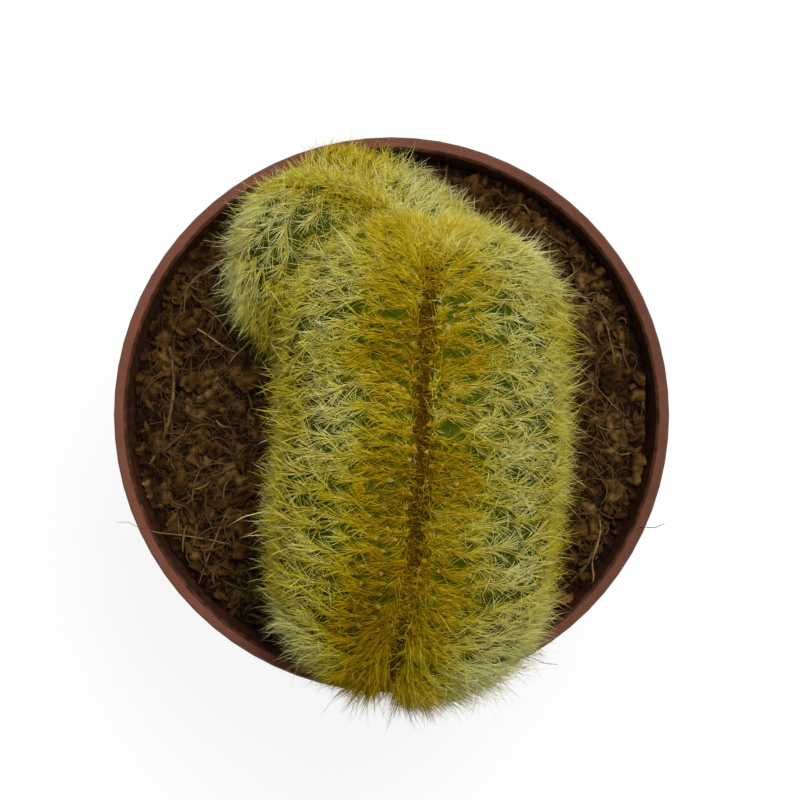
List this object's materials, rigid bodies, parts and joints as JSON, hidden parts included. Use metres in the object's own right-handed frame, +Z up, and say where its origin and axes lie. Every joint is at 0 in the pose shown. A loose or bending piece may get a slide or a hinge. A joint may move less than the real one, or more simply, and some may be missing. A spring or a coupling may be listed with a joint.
{
  "type": "potted crested golden ball cactus",
  "caption": "Crested cactus with bristly, fan-shaped stems rooted in coir mix, in a round tapered nursery pot with a turned-over lip.",
  "frame": {"origin": "centre of the flat pad under the pot, on the surface it stands on", "axes": "+Z up along the pot's axis; -Y towards the end of the large stem that reaches over the lip; +Y towards the small stem"},
  "size_m": [0.105, 0.1056, 0.135],
  "materials": {
    "pot_plastic": "satin",
    "mix": "matte",
    "husk": "matte",
    "coir": "matte",
    "stem": "satin"
  },
  "bodies": {
    "root": {"pot": "pot_plastic", "potting_mix": "mix", "main_crest": "stem", "rear_crest": "stem", "husk_chip_01": "husk", "husk_chip_02": "husk", "husk_chip_03": "husk", "husk_chip_04": "husk", "husk_chip_05": "husk", "husk_chip_06": "husk", "husk_chip_07": "husk", "husk_chip_08": "husk", "husk_chip_09": "husk", "husk_chip_10": "husk", "husk_chip_11": "husk", "husk_chip_12": "husk", "husk_chip_13": "husk", "husk_chip_14": "husk", "coir_fibre_01": "coir", "coir_fibre_02": "coir", "coir_fibre_03": "coir", "coir_fibre_04": "coir", "coir_fibre_05": "coir", "coir_fibre_06": "coir", "coir_fibre_07": "coir"}
  },
  "joints": []
}
